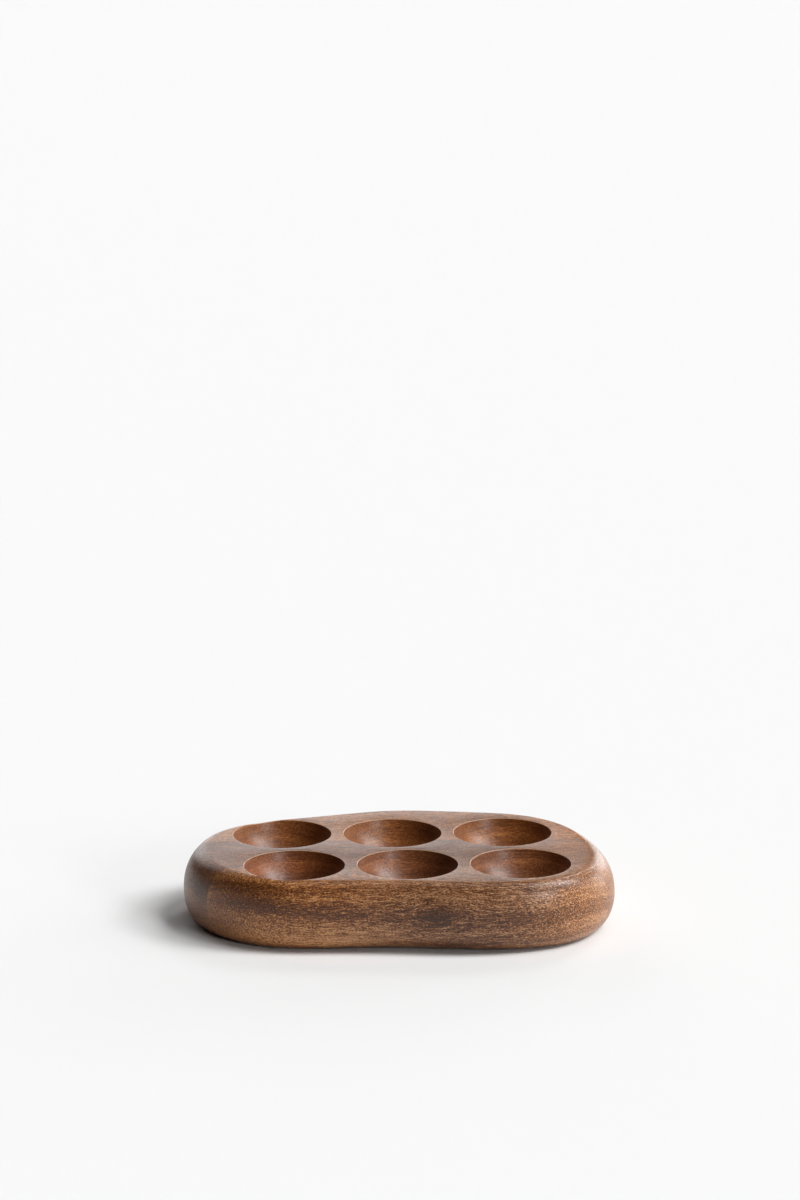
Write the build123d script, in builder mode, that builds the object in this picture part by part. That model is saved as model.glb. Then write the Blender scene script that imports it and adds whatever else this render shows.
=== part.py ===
"""Egg holder tray: a rounded wooden block with two staggered rows of three round wells.

The blank is three full-length staves glued edge to edge, then shaped as one piece.
X runs along the tray, +Y points to its back and +Z up. The origin is the middle of
the footprint's box, on the surface that the tray stands on. All sizes are millimetres.
"""

import os
from math import cos, hypot, pi, sin

from build123d import *

os.makedirs("parts", exist_ok=True)

# Heights of the block and of its widest level.
tray_height = 35.5
girth_height = 15.9

# How far the top face lies inside the widest outline, at the long sides and at the
# ends, how sharply it changes between them, and how full the curve of the shoulder is.
# A fullness of 2 is an ellipse.
top_side_inset = 7.5
top_end_inset = 14.0
top_end_sharpness = 6
top_fullness = 2.2

# The same for the base face, which lies further in at the right end than at the left.
base_side_inset = 14.5
base_end_inset = 8.8
base_end_difference = 3.2
base_fullness = 2.0
sections_per_half = 8

# The widest outline, anticlockwise. It starts where the outline runs straight back.
girth_outline = [
    (106.0, -13.5),
    (101.5, 13.5),
    (89.5, 38.5),
    (66.5, 58.0),
    (31.5, 66.0),
    (-4.5, 68.5),
    (-37.0, 60.0),
    (-67.0, 50.5),
    (-96.0, 29.0),
    (-106.0, -2.5),
    (-95.0, -34.0),
    (-67.5, -58.0),
    (-29.0, -64.0),
    (0.5, -65.0),
    (38.5, -68.5),
    (88.0, -54.5),
]

# The wells: spherical bowls in two rows, the front row set a little to the right.
wells_per_row = 3
well_pitch = 55.0
row_pitch = 53.4
row_stagger = 6.0
grid_centre = (0.7, -4.5)
rim_radius = 24.5
well_depth = 20.0
bowl_radius = (rim_radius**2 + well_depth**2) / (2 * well_depth)

# The glue lines between the staves are upright planes along the tray.
back_glue_line = 9.5
front_glue_line = -35.5


def outline_spline(points):
    """The smooth closed curve through the points of an outline."""
    straight = (0, 1)
    return Spline(*points, points[0], tangents=[straight, straight], tangent_scalars=[1, 1])


def top_inset(place, normal):
    """Full inset of the top face, beside a place where the outline faces the normal."""
    return top_side_inset + (top_end_inset - top_side_inset) * normal.X**top_end_sharpness


def base_inset(place, normal):
    """Full inset of the base face, beside a place where the outline faces the normal."""
    along = place.X / place.length
    inset = base_side_inset + (base_end_inset - base_side_inset) * along**2
    return inset + base_end_difference / 2 * along


def side_sections():
    """Height, share of the full inset, and full inset of every section, base face first."""
    turns = [step / sections_per_half * pi / 2 for step in range(sections_per_half + 1)]
    sections = []
    for turn in reversed(turns):
        height = girth_height * (1 - sin(turn) ** (2 / base_fullness))
        sections.append((height, 1 - cos(turn) ** (2 / base_fullness), base_inset))
    for turn in turns[1:]:
        rise = (tray_height - girth_height) * sin(turn) ** (2 / top_fullness)
        sections.append((girth_height + rise, 1 - cos(turn) ** (2 / top_fullness), top_inset))
    return sections


def outline_normals():
    """The outward direction of the widest outline at each of its points."""
    girth = outline_spline(girth_outline)
    normals = []
    for point in girth_outline:
        tangent = girth.tangent_at(girth.param_at_point(Vector(*point)))
        normals.append(Vector(tangent.Y, -tangent.X))
    return normals


def well_centres():
    """Middle of each well, the front row first and each row from left to right."""
    centres = []
    for side in (-1, 1):
        row_x = grid_centre[0] - side * row_stagger / 2
        row_y = grid_centre[1] + side * row_pitch / 2
        for column in range(wells_per_row):
            x = row_x + (column - (wells_per_row - 1) / 2) * well_pitch
            centres.append((x, row_y))
    return centres


# The finished outside of the glued blank, with its wells, before it is told apart
# into staves.
normals = outline_normals()
with BuildPart() as shaped_blank:
    for height, share, full_inset in side_sections():
        points = []
        for point, normal in zip(girth_outline, normals):
            place = Vector(*point)
            points.append(place - normal * full_inset(place, normal) * share)
        with BuildSketch(Plane.XY.offset(height)):
            with BuildLine():
                outline_spline(points)
            make_face()
    loft()
    bowl_height = tray_height - well_depth + bowl_radius
    with Locations(*[(x, y, bowl_height) for x, y in well_centres()]):
        Sphere(bowl_radius, mode=Mode.SUBTRACT)

# The staves, from the back of the tray to the front.
with BuildPart() as back_stave:
    add(shaped_blank.part)
    split(bisect_by=Plane.XZ.offset(-back_glue_line), keep=Keep.BOTTOM)
back_stave.part.label = "back_stave"
export_step(back_stave.part, "parts/back_stave.step")

with BuildPart() as middle_stave:
    add(shaped_blank.part)
    split(bisect_by=Plane.XZ.offset(-back_glue_line), keep=Keep.TOP)
    split(bisect_by=Plane.XZ.offset(-front_glue_line), keep=Keep.BOTTOM)
middle_stave.part.label = "middle_stave"
export_step(middle_stave.part, "parts/middle_stave.step")

with BuildPart() as front_stave:
    add(shaped_blank.part)
    split(bisect_by=Plane.XZ.offset(-front_glue_line), keep=Keep.TOP)
front_stave.part.label = "front_stave"
export_step(front_stave.part, "parts/front_stave.step")
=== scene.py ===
import math

import bmesh
import bpy
import numpy as np
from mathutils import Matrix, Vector
from mathutils.geometry import delaunay_2d_cdt


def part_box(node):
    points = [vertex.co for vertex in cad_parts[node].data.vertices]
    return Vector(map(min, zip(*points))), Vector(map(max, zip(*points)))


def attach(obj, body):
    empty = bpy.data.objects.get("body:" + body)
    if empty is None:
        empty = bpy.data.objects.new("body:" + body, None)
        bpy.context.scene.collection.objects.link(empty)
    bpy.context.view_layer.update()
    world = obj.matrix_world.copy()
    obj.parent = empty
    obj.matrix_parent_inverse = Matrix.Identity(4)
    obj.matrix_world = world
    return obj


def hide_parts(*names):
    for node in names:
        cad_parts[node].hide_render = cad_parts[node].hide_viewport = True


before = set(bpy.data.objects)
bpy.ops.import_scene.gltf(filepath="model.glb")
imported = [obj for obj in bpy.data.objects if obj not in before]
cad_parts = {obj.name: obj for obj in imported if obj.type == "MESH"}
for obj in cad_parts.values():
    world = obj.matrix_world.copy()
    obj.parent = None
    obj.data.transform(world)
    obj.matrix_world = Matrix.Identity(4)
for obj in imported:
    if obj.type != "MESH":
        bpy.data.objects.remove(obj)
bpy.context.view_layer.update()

MM = 0.001

# The tray's shape, in millimetres: the same driving sizes that the CAD solids have.
TRAY_HEIGHT = 35.5
GIRTH_HEIGHT = 15.9
TOP_SIDE_INSET = 7.5
TOP_END_INSET = 14.0
TOP_END_SHARPNESS = 6
TOP_FULLNESS = 2.2
BASE_SIDE_INSET = 14.5
BASE_END_INSET = 8.8
BASE_END_DIFFERENCE = 3.2
BASE_FULLNESS = 2.0
GIRTH_OUTLINE = [
    (106.0, -13.5), (101.5, 13.5), (89.5, 38.5), (66.5, 58.0),
    (31.5, 66.0), (-4.5, 68.5), (-37.0, 60.0), (-67.0, 50.5),
    (-96.0, 29.0), (-106.0, -2.5), (-95.0, -34.0), (-67.5, -58.0),
    (-29.0, -64.0), (0.5, -65.0), (38.5, -68.5), (88.0, -54.5),
]
WELL_PITCH = 55.0
ROW_PITCH = 53.4
ROW_STAGGER = 6.0
GRID_CENTRE = (0.7, -4.5)
RIM_RADIUS = 24.5
WELL_DEPTH = 20.0
BOWL_RADIUS = (RIM_RADIUS**2 + WELL_DEPTH**2) / (2 * WELL_DEPTH)
BOWL_HEIGHT = TRAY_HEIGHT - WELL_DEPTH + BOWL_RADIUS

# The rims of the wells are broken by a small round, which the CAD solids don't have.
LIP_RADIUS = 0.45

# How finely the surface is cut. The lower share of the shoulder is made of rings, and
# the rest of it is filled in together with the top face.
AROUND_TRAY = 384
BASE_RINGS = 14
SHOULDER_RINGS = 18
RINGED_SHARE = 0.45
AROUND_WELL = 168
LIP_RINGS = 7
BOWL_RINGS = 26

# The outer edge of a lip is looked for this far on each side of the rim, in this many
# halvings, with the slope of the top measured across two of the steps. No other point of
# the top lies closer than the clearance to a lip.
LIP_SEARCH = 3.0
LIP_HALVINGS = 30
SLOPE_STEP = 0.05
LIP_CLEARANCE = 0.4

# Points whose heights are worked out at once, which keeps the tables of gaps small.
HEIGHT_BATCH = 4096

# Gaps that count as none: in the fill, between welded points and at a cut, in metres.
FILL_GAP = 1e-6
WELD_GAP = 1e-6
CUT_GAP = 1e-7


def closed_spline(points, samples):
    """Even samples of the smooth closed curve through the points, and its outward normals.

    The curve runs straight back at its first point."""
    knots = np.array(points, float)
    count = len(knots)
    spans = np.hypot(*(np.roll(knots, -1, 0) - knots).T)
    before = np.roll(spans, 1)
    rise = (np.roll(knots, -1, 0) - knots) / spans[:, None]
    matrix = np.zeros((count, count))
    for i in range(count):
        matrix[i, i - 1] = spans[i]
        matrix[i, i] = 2 * (spans[i] + before[i])
        matrix[i, (i + 1) % count] = before[i]
    pull = 3 * (spans[:, None] * np.roll(rise, 1, 0) + before[:, None] * rise)
    matrix[0] = np.eye(count)[0]
    pull[0] = (0, 1)
    slopes = np.linalg.solve(matrix, pull)
    starts = np.r_[0, np.cumsum(spans)]
    along = np.linspace(0, starts[-1], samples, endpoint=False)
    span = np.searchsorted(starts, along, side="right") - 1
    following = (span + 1) % count
    width = spans[span][:, None]
    t = (along - starts[span])[:, None] / width
    a, b = knots[span], knots[following]
    da, db = slopes[span] * width, slopes[following] * width
    place = (2 * t**3 - 3 * t**2 + 1) * a + (t**3 - 2 * t**2 + t) * da
    place += (3 * t**2 - 2 * t**3) * b + (t**3 - t**2) * db
    heading = (6 * t**2 - 6 * t) * (a - b) + (3 * t**2 - 4 * t + 1) * da
    heading += (3 * t**2 - 2 * t) * db
    heading /= np.linalg.norm(heading, axis=1)[:, None]
    return place, np.c_[heading[:, 1], -heading[:, 0]]


girth, girth_normals = closed_spline(GIRTH_OUTLINE, AROUND_TRAY)
fine_girth, fine_normals = closed_spline(GIRTH_OUTLINE, 4 * AROUND_TRAY)


def top_inset(normals):
    """Full inset of the top face where the outline faces each normal."""
    return TOP_SIDE_INSET + (TOP_END_INSET - TOP_SIDE_INSET) * normals[:, 0] ** TOP_END_SHARPNESS


def base_inset(outline):
    """Full inset of the base face beside each place on the outline."""
    along = outline[:, 0] / np.hypot(*outline.T)
    inset = BASE_SIDE_INSET + (BASE_END_INSET - BASE_SIDE_INSET) * along**2
    return inset + BASE_END_DIFFERENCE / 2 * along


def shoulder_ring(turn):
    """The ring of the top half of the side at a turn from 0, the girth, to 90 degrees."""
    inset = top_inset(girth_normals) * (1 - math.cos(turn) ** (2 / TOP_FULLNESS))
    rise = (TRAY_HEIGHT - GIRTH_HEIGHT) * math.sin(turn) ** (2 / TOP_FULLNESS)
    flat = girth - girth_normals * inset[:, None]
    return np.c_[flat, np.full(AROUND_TRAY, GIRTH_HEIGHT + rise)]


def base_ring(turn):
    """The ring of the bottom half of the side at a turn from 0, the girth, to 90 degrees."""
    inset = base_inset(girth) * (1 - math.cos(turn) ** (2 / BASE_FULLNESS))
    drop = GIRTH_HEIGHT * math.sin(turn) ** (2 / BASE_FULLNESS)
    flat = girth - girth_normals * inset[:, None]
    return np.c_[flat, np.full(AROUND_TRAY, GIRTH_HEIGHT - drop)]


def top_height(flat):
    """Height of the top and its shoulders over points that lie inside the girth outline."""
    heights = np.empty(len(flat))
    widths = top_inset(fine_normals)
    for start in range(0, len(flat), HEIGHT_BATCH):
        part = flat[start : start + HEIGHT_BATCH]
        gaps = np.linalg.norm(part[:, None] - fine_girth[None], axis=2)
        nearest = gaps.argmin(1)
        width = widths[nearest]
        away = np.clip((width - gaps.min(1)) / width, 0, 1)
        curve = (1 - away**TOP_FULLNESS) ** (1 / TOP_FULLNESS)
        rise = (TRAY_HEIGHT - GIRTH_HEIGHT) * curve
        heights[start : start + HEIGHT_BATCH] = GIRTH_HEIGHT + rise
    return heights


def well_centres():
    """Middle of each well, the front row first and each row from left to right."""
    centres = []
    for side in (-1, 1):
        row_x = GRID_CENTRE[0] - side * ROW_STAGGER / 2
        row_y = GRID_CENTRE[1] + side * ROW_PITCH / 2
        for column in (-1, 0, 1):
            centres.append((row_x + column * WELL_PITCH, row_y))
    return centres


def well_rings(centre):
    """Rings of one well, from the outside of its rounded lip down to its lowest point.

    Around the well, the lip is an arc that touches both the top and the bowl."""
    turns = np.linspace(0, 2 * np.pi, AROUND_WELL, endpoint=False)
    out = np.c_[np.cos(turns), np.sin(turns)]
    middle = np.array(centre)

    def top_profile(reach):
        """Height of the top at each reach, and the direction straight down into the wood."""
        height = top_height(middle + out * reach[:, None])
        further = top_height(middle + out * (reach + SLOPE_STEP)[:, None])
        nearer = top_height(middle + out * (reach - SLOPE_STEP)[:, None])
        slope = (further - nearer) / (2 * SLOPE_STEP)
        steep = np.hypot(slope, 1)
        return height, slope / steep, -1 / steep

    low = np.full(AROUND_WELL, RIM_RADIUS - LIP_SEARCH)
    high = np.full(AROUND_WELL, RIM_RADIUS + LIP_SEARCH)
    for _ in range(LIP_HALVINGS):
        reach = (low + high) / 2
        height, down_x, down_z = top_profile(reach)
        lip_x = reach + LIP_RADIUS * down_x
        lip_z = height + LIP_RADIUS * down_z
        outside = np.hypot(lip_x, lip_z - BOWL_HEIGHT) > BOWL_RADIUS + LIP_RADIUS
        high = np.where(outside, reach, high)
        low = np.where(outside, low, reach)
    start = np.arctan2(-down_z, -down_x)
    end = np.arctan2(BOWL_HEIGHT - lip_z, -lip_x)
    rings = []
    for step in range(LIP_RINGS + 1):
        angle = start + (end - start) * step / LIP_RINGS
        x = lip_x + LIP_RADIUS * np.cos(angle)
        z = lip_z + LIP_RADIUS * np.sin(angle)
        rings.append(np.c_[middle + out * x[:, None], z])
    rim_angle = np.arctan2(x, BOWL_HEIGHT - z)
    for step in range(1, BOWL_RINGS):
        angle = rim_angle * (1 - step / BOWL_RINGS)
        x = BOWL_RADIUS * np.sin(angle)
        z = BOWL_HEIGHT - BOWL_RADIUS * np.cos(angle)
        rings.append(np.c_[middle + out * x[:, None], z])
    return rings, (centre[0], centre[1], BOWL_HEIGHT - BOWL_RADIUS)


class Shell:
    """Points and faces of one closed surface, gathered in millimetres.

    The marks say how far a point belongs to a lip and to a bowl, from 0 to 1."""

    def __init__(self):
        self.points = []
        self.faces = []
        self.marks = {"lip": {}, "bowl": {}}

    def ring(self, points, **marks):
        first = len(self.points)
        self.points += [tuple(p) for p in points]
        numbers = list(range(first, first + len(points)))
        for name, share in marks.items():
            self.marks[name].update(dict.fromkeys(numbers, share))
        return numbers

    def bridge(self, lower, upper):
        for i, a in enumerate(lower):
            j = (i + 1) % len(lower)
            self.faces.append((a, lower[j], upper[j], upper[i]))

    def fan(self, ring, tip, **marks):
        end = self.ring([tip], **marks)[0]
        for i, a in enumerate(ring):
            self.faces.append((a, ring[(i + 1) % len(ring)], end))

    def fill(self, loops, inner, keep, height):
        """Triangles between the loops, through the inner points, where keep says so."""
        flat, edges = [], []
        for loop in loops:
            first = len(flat)
            flat += [tuple(p[:2]) for p in loop]
            edges += [(first + i, first + (i + 1) % len(loop)) for i in range(len(loop))]
        flat += [tuple(p[:2]) for p in inner]
        places = [Vector(p) for p in flat]
        corners, _, triangles, *_ = delaunay_2d_cdt(places, edges, [], 0, FILL_GAP)
        corners = np.array([tuple(p) for p in corners])
        triangles = np.array([tuple(t) for t in triangles])
        triangles = triangles[keep(corners[triangles].mean(1))]
        known = {tuple(np.round(p[:2], 5)): p[2] for loop in loops for p in loop}
        heights = height(corners)
        for i, corner in enumerate(corners):
            heights[i] = known.get(tuple(np.round(corner, 5)), heights[i])
        first = len(self.points)
        self.points += [tuple(p) for p in np.c_[corners, heights]]
        self.faces += [tuple(int(first + i) for i in t) for t in triangles]


def inside(loop, points):
    """Which points lie inside the closed loop, by counting crossings."""
    a = np.asarray(loop)[:, :2]
    b = np.roll(a, -1, 0)
    x, y = points[:, 0][:, None], points[:, 1][:, None]
    spans = (a[:, 1] > y) != (b[:, 1] > y)
    rise = np.where(b[:, 1] == a[:, 1], 1, b[:, 1] - a[:, 1])
    cross = a[:, 0] + (y - a[:, 1]) * (b[:, 0] - a[:, 0]) / rise
    return (spans & (x < cross)).sum(1) % 2 == 1


def tray_shell():
    """The whole outside of the tray, wells and all, as one closed shell."""
    shell = Shell()
    quarter = math.pi / 2
    side = [base_ring(quarter * (1 - i / BASE_RINGS)) for i in range(BASE_RINGS)]
    steps = [quarter * i / SHOULDER_RINGS for i in range(SHOULDER_RINGS + 1)]
    side += [shoulder_ring(turn) for turn in steps if turn <= quarter * RINGED_SHARE]
    rings = [shell.ring(points) for points in side]
    for lower, upper in zip(rings, rings[1:]):
        shell.bridge(lower, upper)
    shell.fill([side[0]], [], lambda p: inside(side[0], p), lambda p: np.zeros(len(p)))
    lips = []
    for centre in well_centres():
        rings, tip = well_rings(centre)
        lips.append(rings[0])
        numbers = []
        for step, points in enumerate(rings):
            down = min(step / LIP_RINGS, 1)
            numbers.append(shell.ring(points, lip=math.sin(down * math.pi), bowl=down))
        for lower, upper in zip(numbers, numbers[1:]):
            shell.bridge(lower, upper)
        shell.fan(numbers[-1], tip, bowl=1)
    inner = np.concatenate([shoulder_ring(t) for t in steps if t > quarter * RINGED_SHARE])
    clear = np.ones(len(inner), bool)
    for centre, lip in zip(well_centres(), lips):
        reach = np.linalg.norm(lip[:, :2] - centre, axis=1).max() + LIP_CLEARANCE
        clear &= np.linalg.norm(inner[:, :2] - centre, axis=1) > reach

    def on_top(points):
        kept = inside(side[-1], points)
        for lip in lips:
            kept &= ~inside(lip, points)
        return kept

    shell.fill([side[-1]] + lips, inner[clear], on_top, top_height)
    return shell


def tray_mesh():
    """The shell as a bmesh in metres, welded, with its faces turned outward."""
    shell = tray_shell()
    made = bmesh.new()
    layers = {name: made.verts.layers.float.new(name) for name in shell.marks}
    corners = [made.verts.new(Vector(p) * MM) for p in shell.points]
    for name, layer in layers.items():
        for number, share in shell.marks[name].items():
            corners[number][layer] = share
    for face in shell.faces:
        made.faces.new([corners[i] for i in face])
    bmesh.ops.remove_doubles(made, verts=made.verts, dist=WELD_GAP)
    bmesh.ops.recalc_face_normals(made, faces=made.faces)
    return made


def cut_stave(name, whole, low_y, high_y):
    """The part of the tray between two upright glue faces, as a closed mesh object."""
    made = whole.copy()
    for level, side in ((low_y, -1), (high_y, 1)):
        if level is None:
            continue
        parts = made.verts[:] + made.edges[:] + made.faces[:]
        cut = bmesh.ops.bisect_plane(made, geom=parts, dist=CUT_GAP, plane_co=(0, level, 0),
                                     plane_no=(0, side, 0), clear_outer=True)
        edges = [e for e in cut["geom_cut"] if isinstance(e, bmesh.types.BMEdge)]
        bmesh.ops.triangle_fill(made, edges=edges, use_beauty=True, normal=(0, side, 0))
        for edge in edges:
            if edge.is_valid:
                edge.smooth = False
    bmesh.ops.recalc_face_normals(made, faces=made.faces)
    for face in made.faces:
        face.smooth = True
    mesh = bpy.data.meshes.new(name)
    made.to_mesh(mesh)
    made.free()
    piece = bpy.data.objects.new(name, mesh)
    bpy.context.scene.collection.objects.link(piece)
    return piece


def build_staves():
    """Each stave as a finer mesh in the place of its CAD solid."""
    whole = tray_mesh()
    back_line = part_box("back_stave")[0].y
    front_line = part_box("front_stave")[1].y
    spans = {
        "back_stave": (back_line, None),
        "middle_stave": (front_line, back_line),
        "front_stave": (None, front_line),
    }
    pieces = {}
    for node, (low_y, high_y) in spans.items():
        piece = cut_stave(node + "_wood", whole, low_y, high_y)
        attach(piece, "root")
        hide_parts(node)
        pieces[node] = piece
    whole.free()
    return pieces


pieces = build_staves()


# ---------------------------------------------------------------- materials

class Nodes:
    """A short way to write shader node trees."""

    def __init__(self, tree):
        self.tree = tree

    def add(self, kind, **settings):
        node = self.tree.nodes.new(kind)
        for name, value in settings.items():
            setattr(node, name, value)
        return node

    def feed(self, socket, value):
        if isinstance(value, bpy.types.NodeSocket):
            self.tree.links.new(value, socket)
        elif value is not None:
            socket.default_value = value

    def math(self, operation, a, b=None, c=None):
        node = self.add("ShaderNodeMath", operation=operation)
        for socket, value in zip(node.inputs, (a, b, c)):
            self.feed(socket, value)
        return node.outputs[0]

    def vector(self, operation, a, b=None):
        node = self.add("ShaderNodeVectorMath", operation=operation)
        for socket, value in zip(node.inputs, (a, b)):
            self.feed(socket, value)
        return node.outputs["Value" if operation == "LENGTH" else "Vector"]

    def split(self, vector):
        node = self.add("ShaderNodeSeparateXYZ")
        self.feed(node.inputs[0], vector)
        return node.outputs[:]

    def join(self, x, y, z):
        node = self.add("ShaderNodeCombineXYZ")
        for socket, value in zip(node.inputs, (x, y, z)):
            self.feed(socket, value)
        return node.outputs[0]

    def noise(self, place, sizes, detail, offset, color=False):
        """Noise whose blobs have the sizes along X, Y and Z. The offset picks its part."""
        node = self.add("ShaderNodeTexNoise")
        scaled = self.vector("MULTIPLY", place, tuple(1 / size for size in sizes))
        moved = self.vector("ADD", scaled, (offset, offset * 1.7, offset * 2.3))
        self.feed(node.inputs["Vector"], moved)
        node.inputs["Scale"].default_value = 1.0
        node.inputs["Detail"].default_value = detail
        return node.outputs["Color" if color else "Fac"]

    def spread(self, value, low, high, to_low=0.0, to_high=1.0):
        """A smooth step from one number to another as the value goes from low to high."""
        node = self.add("ShaderNodeMapRange", interpolation_type="SMOOTHSTEP")
        for socket, number in zip(node.inputs, (value, low, high, to_low, to_high)):
            self.feed(socket, number)
        return node.outputs[0]

    def ramp(self, value, stops):
        node = self.add("ShaderNodeValToRGB")
        band = node.color_ramp
        while len(band.elements) < len(stops):
            band.elements.new(0.5)
        for element, (place, color) in zip(band.elements, stops):
            element.position = place
            element.color = (*color, 1.0)
        self.feed(node.inputs[0], value)
        return node.outputs[0]

    def sway(self, noise, depth, tone):
        """The tone, moved up and down by the noise."""
        return self.math("MULTIPLY_ADD", self.math("SUBTRACT", noise, 0.5), depth, tone)

    def tint(self, share, color, tint):
        """The colour, with a share of it multiplied by the tint."""
        return self.mix(share, color, self.mix(1.0, color, tint, "MULTIPLY"))

    def mix(self, share, a, b, blend="MIX"):
        node = self.add("ShaderNodeMix", data_type="RGBA", blend_type=blend)
        for socket, value in ((node.inputs[0], share), (node.inputs[6], a), (node.inputs[7], b)):
            if isinstance(value, tuple):
                value = (*value, 1.0)
            self.feed(socket, value)
        return node.outputs[2]


def linear(red, green, blue):
    """A colour written as 0 to 255 display values, for a shader."""
    values = []
    for value in (red, green, blue):
        value /= 255
        values.append(value / 12.92 if value <= 0.04045 else ((value + 0.055) / 1.055) ** 2.4)
    return tuple(values)


# Colours that the three boards share: the pores, a painted highlight on the lips of the wells,
# and the tint of the paler right-hand end of the tray, which is partly painted light falling on
# that end.
PORE_COLOR = linear(58, 33, 19)
RIM_HIGHLIGHT_COLOR = linear(196, 160, 130)
RIGHT_TINT_AND_PAINTED_LIGHT = (1.58, 1.62, 1.58)

# Places along the tray. The left-hand tint is full up to the first and gone from the
# second. The right-hand tint starts at the first and is full from the second.
LEFT_FADE = (-75.0, 25.0)
RIGHT_FADE = (45.0, 92.0)

# The thickness of one fibre. Fibres, specks and pores are this fine across the grain.
FIBRE = 0.42

# A knot changes the tone by this much at its middle. It is full in front of the first
# place along Y and gone behind the second.
KNOT_TONE = -0.36
KNOT_FADE = (-58.0, -46.0)


def part_around(n, wavy, knot):
    """The grain parted around a knot, like a stream around a stone, and the knot's eye."""
    knot_x, knot_z, knot_radius, flatness = knot
    x, y, z = n.split(wavy)
    off_x = n.math("MULTIPLY", n.math("SUBTRACT", x, knot_x), flatness)
    off_z = n.math("SUBTRACT", z, knot_z)
    square = n.math("MULTIPLY_ADD", off_x, off_x, n.math("MULTIPLY", off_z, off_z))
    pull = n.math("DIVIDE", knot_radius**2, n.math("ADD", square, knot_radius**2))
    bent = n.math("MULTIPLY", off_z, n.math("SUBTRACT", 1.0, pull))
    away = n.math("POWER", square, 0.5)
    eye = n.spread(away, 0.1 * knot_radius, 1.5 * knot_radius, 1.0, 0.0)
    eye = n.math("MULTIPLY", eye, n.spread(y, *KNOT_FADE, 1.0, 0.0))
    return n.join(x, y, n.math("ADD", bent, knot_z)), eye


def wood(name, ring_centre, stops, offset, bowl_tint_and_shade, figure_and_painted_light=(), knot=None, drift=None):
    """Oiled walnut-like wood with its grain along X, cut from one solid of texture.

    The growth rings lie about an axis along X at ring_centre (y, z in millimetres). The tint for
    the bowls colours the wells warmer and darker, partly as their own colour and partly as
    painted shade in their hollows. The streaks are listed as middle, half sizes and change of
    tone: darker and lighter streaks of the wood itself, and on the middle board a painted shade
    and a painted highlight. The knot is its x, its z, its radius and its height for each unit of
    length along the grain. The drift is a tint that comes in to the left."""
    material = bpy.data.materials.new(name)
    material.use_nodes = True
    shader = material.node_tree.nodes["Principled BSDF"]
    n = Nodes(material.node_tree)
    place = n.vector("MULTIPLY", n.add("ShaderNodeTexCoord").outputs["Object"], (1 / MM,) * 3)
    bowl = n.add("ShaderNodeAttribute", attribute_name="bowl").outputs["Fac"]
    lip = n.add("ShaderNodeAttribute", attribute_name="lip").outputs["Fac"]

    # The fine contrast is full on the outside of the tray and half of that in the wells.
    outside = n.math("MULTIPLY_ADD", bowl, -0.5, 1.0)

    # Slow waves of the grain, and finer ones.
    slow = n.noise(place, (90, 38, 38), 1.5, offset, color=True)
    fine = n.noise(place, (22, 9, 9), 2.0, offset + 7, color=True)
    slow = n.vector("MULTIPLY", n.vector("SUBTRACT", slow, (0.5,) * 3), (0, 14, 12))
    fine = n.vector("MULTIPLY", n.vector("SUBTRACT", fine, (0.5,) * 3), (3, 4, 4))
    wavy = n.vector("ADD", place, fine)
    if knot:
        wavy, eye = part_around(n, wavy, knot)
    x, y, z = n.split(n.vector("ADD", wavy, slow))
    off_y = n.math("SUBTRACT", y, ring_centre[0])
    off_z = n.math("SUBTRACT", z, ring_centre[1])
    rings = n.join(x, n.vector("LENGTH", n.join(0.0, off_y, off_z)), 0.0)

    # Growth bands of uneven width and depth with thin late-wood lines inside them, clouds
    # of tone, then the fibres and specks.
    bands = n.noise(rings, (260, 6, 1), 1.0, offset + 3)
    lines = n.noise(rings, (60, 1, 1), 1.0, offset + 11)
    cloud = n.noise(place, (45, 22, 22), 2.0, offset + 19)
    fibre = n.noise(wavy, (8, FIBRE, FIBRE), 1.0, offset)
    speck = n.noise(place, (0.9, FIBRE, FIBRE), 0.0, offset + 13)
    tone = 0.5
    for layer, depth in ((bands, 0.6), (lines, 0.45), (cloud, 0.3)):
        tone = n.sway(layer, depth, tone)
    for layer, depth in ((fibre, 1.65), (speck, 1.25)):
        tone = n.sway(layer, n.math("MULTIPLY", outside, depth), tone)
    # Darker and lighter streaks: the wood's own on the front board, a painted shade and a
    # painted highlight on the middle board.
    for middle, reach, depth in figure_and_painted_light:
        gap = n.vector("DIVIDE", n.vector("SUBTRACT", wavy, middle), reach)
        streak = n.spread(n.vector("LENGTH", gap), 0.0, 1.0, depth, 0.0)
        tone = n.math("ADD", tone, streak)
    if knot:
        tone = n.math("MULTIPLY_ADD", eye, KNOT_TONE, tone)
    color = n.ramp(tone, stops)
    along = n.split(place)[0]
    if drift:
        color = n.tint(n.spread(along, *LEFT_FADE, 1.0, 0.0), color, drift)
    # Paler towards the right-hand end: partly lighter wood, partly painted light from the lamps
    # on the right.
    color = n.tint(n.spread(along, *RIGHT_FADE), color, RIGHT_TINT_AND_PAINTED_LIGHT)

    # Open pores: short dark dashes along the grain, dots where the grain ends.
    pores = n.noise(wavy, (3.2, FIBRE, FIBRE), 1.0, offset + 23)
    pore = n.math("MULTIPLY", n.spread(pores, 0.57, 0.68), outside)
    color = n.mix(n.math("MULTIPLY", pore, 0.45), color, PORE_COLOR)

    # The bowls take a warmer, darker tint, partly their own colour and partly painted shade in
    # the hollows of the wells, and a pale painted highlight lies along their lips.
    color = n.tint(bowl, color, bowl_tint_and_shade)
    # A pale painted highlight along the lips of the wells.
    color = n.mix(n.math("MULTIPLY", lip, 0.6), color, RIM_HIGHLIGHT_COLOR)

    shader.inputs["Base Color"].default_value = (0.3, 0.2, 0.1, 1)
    n.feed(shader.inputs["Base Color"], color)
    rough = n.math("MULTIPLY_ADD", fibre, 0.12, 0.27)
    rough = n.math("MULTIPLY_ADD", bowl, 0.06, rough)
    n.feed(shader.inputs["Roughness"], n.math("MULTIPLY_ADD", pore, 0.15, rough))
    shader.inputs["Specular IOR Level"].default_value = 0.45

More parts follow.
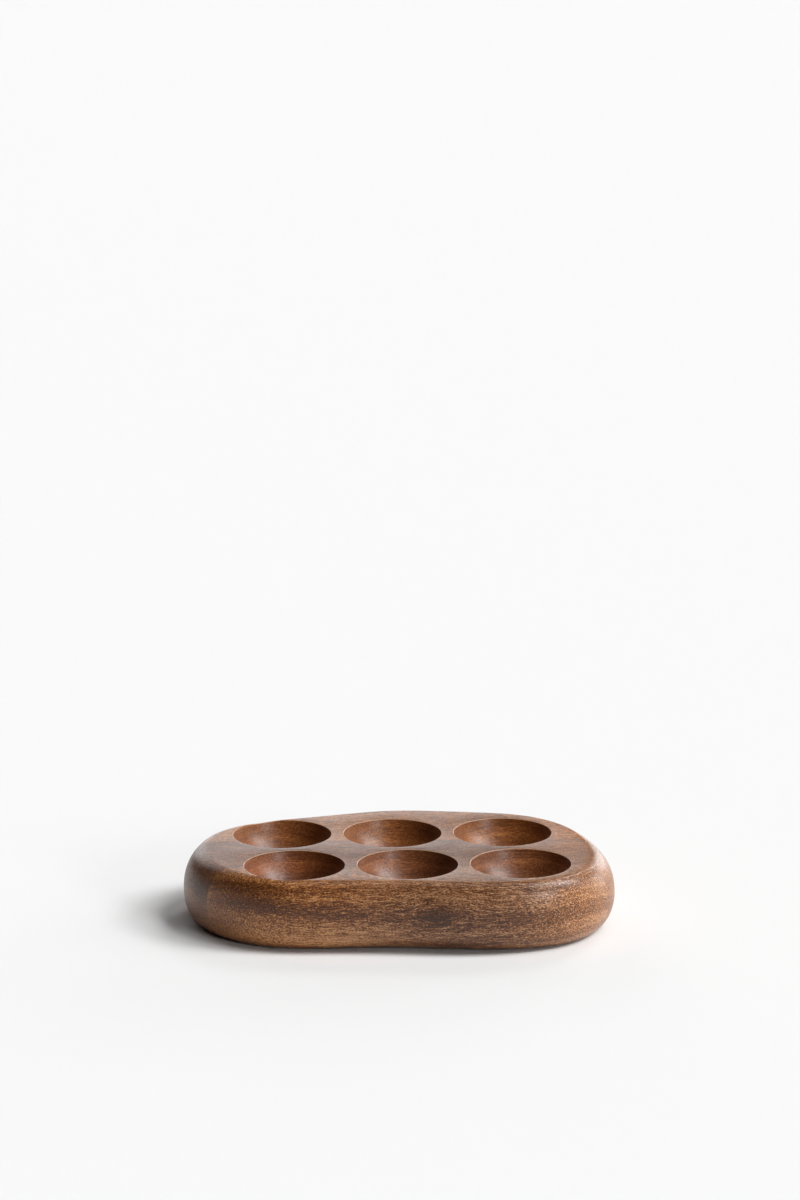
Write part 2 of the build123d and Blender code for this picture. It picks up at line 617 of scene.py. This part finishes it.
    # The fibres stand up a little from the surface, and the pores lie below it.
    bump = n.add("ShaderNodeBump")
    bump.inputs["Strength"].default_value = 0.3
    bump.inputs["Distance"].default_value = 0.0002
    relief = n.math("SUBTRACT", n.math("MULTIPLY", fibre, 0.5), n.math("MULTIPLY", pore, 0.6))
    n.feed(bump.inputs["Height"], relief)
    n.feed(shader.inputs["Normal"], bump.outputs[0])
    return material


# The tones of each board, from its darkest to its lightest.
ORANGE = [(0.10, linear(71, 41, 23)), (0.40, linear(117, 70, 36)),
          (0.62, linear(148, 93, 52)), (0.92, linear(187, 132, 83))]
BROWN = [(0.10, linear(56, 34, 21)), (0.40, linear(94, 57, 35)),
         (0.62, linear(122, 79, 51)), (0.92, linear(158, 113, 79))]
GOLDEN = [(0.10, linear(63, 37, 20)), (0.40, linear(107, 65, 38)),
          (0.62, linear(136, 91, 58)), (0.92, linear(176, 135, 101))]

# Streaks of tone: middle, half sizes and change of tone. On the front board they are the wood's
# own streaks.
FRONT_FIGURE = [
    ((-74, -55, 25), (36, 40, 11), -0.36),
    ((-28, -60, 21), (56, 40, 8), -0.22),
    ((-38, -60, 9), (68, 40, 8), 0.22),
    ((26, -60, 8), (34, 40, 8), -0.24),
    ((56, -60, 19), (40, 40, 10), -0.20),
]
# On the middle board, a painted shade darkens the upper left-hand shoulder, which faces away
# from the lamps, and a painted highlight lightens the far left-hand edge.
MIDDLE_PAINTED_SHADE_AND_HIGHLIGHT = [
    ((-94, -28, 26), (20, 20, 10), -0.17),
    ((-106, -16, 18), (12, 18, 12), 0.25),
]
# The tint for each board's bowls makes its wells warmer and darker, partly as painted shade.
WOODS = {
    "back_stave": wood("back_wood", (50.0, -150.0), ORANGE, 41.0,
                       bowl_tint_and_shade=(0.88, 0.80, 0.66)),
    "middle_stave": wood("middle_wood", (0.0, 190.0), BROWN, 5.0,
                         bowl_tint_and_shade=(1.12, 0.96, 0.76), figure_and_painted_light=MIDDLE_PAINTED_SHADE_AND_HIGHLIGHT,
                         drift=(1.10, 0.97, 0.78)),
    "front_stave": wood("front_wood", (-60.0, -170.0), GOLDEN, 17.0,
                        bowl_tint_and_shade=(0.95, 0.88, 0.70), figure_and_painted_light=FRONT_FIGURE,
                        knot=(16.0, 20.0, 6.0, 0.65), drift=(1.29, 1.12, 0.76)),
}
for node, piece in pieces.items():
    piece.data.materials.clear()
    piece.data.materials.append(WOODS[node])

# ---------------------------------------------------------------- studio

# The plain pale floor, in metres.
FLOOR_SIZE = 60.0
bpy.ops.mesh.primitive_plane_add(size=FLOOR_SIZE)
floor = bpy.context.object
floor.name = "floor"
paper = bpy.data.materials.new("paper")
paper.use_nodes = True
paper_shader = paper.node_tree.nodes["Principled BSDF"]
paper_shader.inputs["Base Color"].default_value = (0.80, 0.80, 0.80, 1)
paper_shader.inputs["Roughness"].default_value = 0.9
paper_shader.inputs["Specular IOR Level"].default_value = 0.2
floor.data.materials.append(paper)

world = bpy.data.worlds.new("studio")
world.use_nodes = True
sky = world.node_tree.nodes["Background"]
sky.inputs[0].default_value = (1, 1, 1, 1)
sky.inputs[1].default_value = 0.01
scene = bpy.context.scene
scene.world = world


def sun(name, azimuth, elevation, strength, spread):
    """A soft light from far away: azimuth from +X towards +Y and elevation, in degrees."""
    light = bpy.data.lights.new(name, "SUN")
    light.energy = strength
    light.angle = math.radians(spread)
    lamp = bpy.data.objects.new(name, light)
    turn, lift = math.radians(azimuth), math.radians(elevation)
    flat = math.cos(lift)
    toward = Vector((math.cos(turn) * flat, math.sin(turn) * flat, math.sin(lift)))
    lamp.rotation_euler = toward.to_track_quat("Z", "Y").to_euler()
    scene.collection.objects.link(lamp)


sun("key_low", -8.0, 41.0, 1.75, 18.0)
sun("key_high", -10.0, 59.0, 0.98, 20.0)
sun("key_front", -34.0, 52.0, 0.62, 16.0)
sun("top", 0.0, 90.0, 0.20, 22.0)
sun("window", -51.0, 17.0, 0.84, 14.0)
sun("strip_end", 0.0, 22.0, 0.36, 22.0)
sun("strip_right_back", 35.0, 8.0, 0.55, 22.0)
sun("strip_back", 65.0, 8.0, 0.60, 22.0)
sun("strip_behind", 98.0, 8.0, 0.42, 28.0)
sun("back_left", 120.0, 28.0, 0.28, 30.0)
sun("back_high", 61.0, 44.0, 0.42, 16.0)

lens = bpy.data.cameras.new("camera")
camera = bpy.data.objects.new("camera", lens)
scene.collection.objects.link(camera)
lens.sensor_width = 36.0
lens.lens = 111.0
camera.location = (-0.0495, -1.7531, 0.5623)
camera.rotation_euler = (math.radians(90 - 12.922), 0, math.radians(-1.645))
scene.camera = camera
scene.view_settings.view_transform = "Standard"
